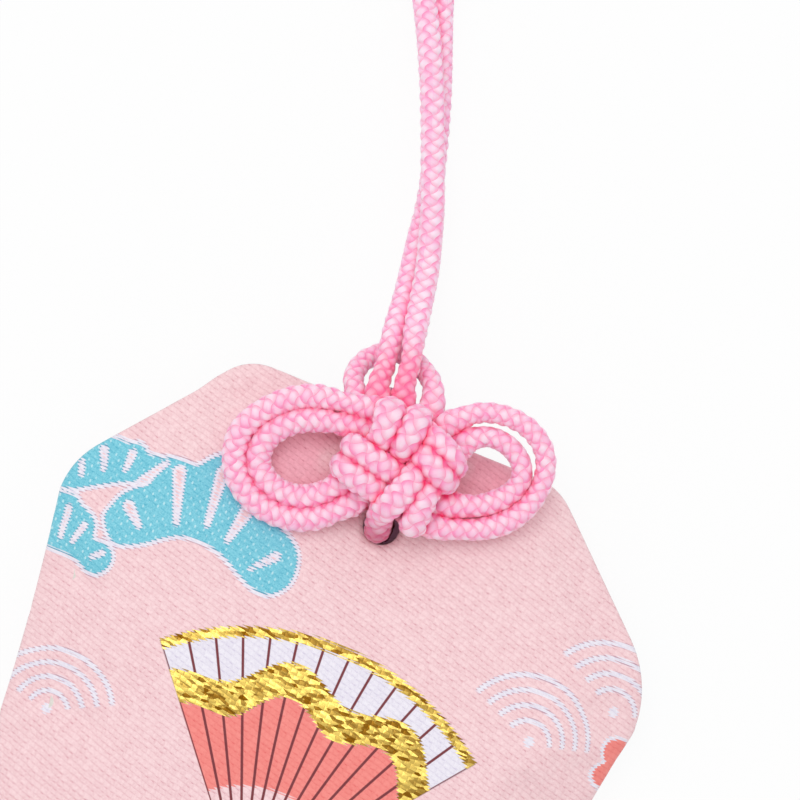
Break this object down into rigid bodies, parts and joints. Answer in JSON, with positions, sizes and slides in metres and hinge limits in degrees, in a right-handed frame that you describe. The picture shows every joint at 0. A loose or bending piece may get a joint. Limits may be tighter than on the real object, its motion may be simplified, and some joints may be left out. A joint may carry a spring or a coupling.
{
  "type": "omamori charm",
  "caption": "Flat padded brocade charm bag with a six-sided outline, tied at its punched hole with a braided cord in a double bow knot and hung by a long cord loop",
  "frame": {"origin": "centre of the flat resting face of the bag's back", "axes": "+X to the bag's right, +Y up the bag towards the cord, +Z out of the front face"},
  "size_m": [0.0589, 0.1562, 0.0113],
  "materials": {
    "front_panel": "woven brocade",
    "back_panel": "woven brocade",
    "front_lining": "bonded cloth",
    "back_lining": "bonded cloth",
    "padding": "soft wadding",
    "stiffener_card": "grey card",
    "slip_wrapper": "white paper",
    "talisman_slip": "planed thin wood",
    "seam_thread": "sewing thread",
    "cord": "glossy braided nylon"
  },
  "bodies": {
    "pouch": {"front_panel": "front_panel", "back_panel": "back_panel", "front_lining": "front_lining", "back_lining": "back_lining", "padding": "padding", "stiffener_card": "stiffener_card", "slip_wrapper": "slip_wrapper", "talisman_slip": "talisman_slip", "seam_thread": "seam_thread"},
    "knot": {"knot_top_left_strand": "cord", "knot_top_right_strand": "cord", "knot_left_upper_strand": "cord", "knot_left_lower_strand": "cord", "knot_bottom_left_strand": "cord", "knot_bottom_right_strand": "cord", "knot_right_lower_strand": "cord", "knot_right_upper_strand": "cord", "knot_ear_loop": "cord", "hole_bight": "cord", "hanging_root_left": "cord", "hanging_root_right": "cord"},
    "left_bow": {"left_bow_outer_loop": "cord", "left_bow_inner_loop": "cord"},
    "right_bow": {"right_bow_outer_loop": "cord", "right_bow_inner_loop": "cord"},
    "hanging_cord": {"hanging_loop": "cord"}
  },
  "joints": [
    {"name": "knot_swing", "type": "hinge", "parent": "pouch", "child": "knot", "pos_m": [-0.0004, 0.03165, 0.004], "axis": [0, 0, 1], "range_deg": [-50, 8]},
    {"name": "hanging_lift", "type": "hinge", "parent": "knot", "child": "hanging_cord", "pos_m": [-0.00413, 0.0448, 0.007], "axis": [0.9304, 0.3665, 0], "range_deg": [0, 100]},
    {"name": "left_bow_lift", "type": "hinge", "parent": "knot", "child": "left_bow", "pos_m": [-0.00611, 0.03617, 0.0087], "axis": [-0.3665, 0.9304, 0], "range_deg": [0, 70]},
    {"name": "right_bow_lift", "type": "hinge", "parent": "knot", "child": "right_bow", "pos_m": [0.00491, 0.0389, 0.0087], "axis": [0.3665, -0.9304, 0], "range_deg": [0, 70]}
  ]
}
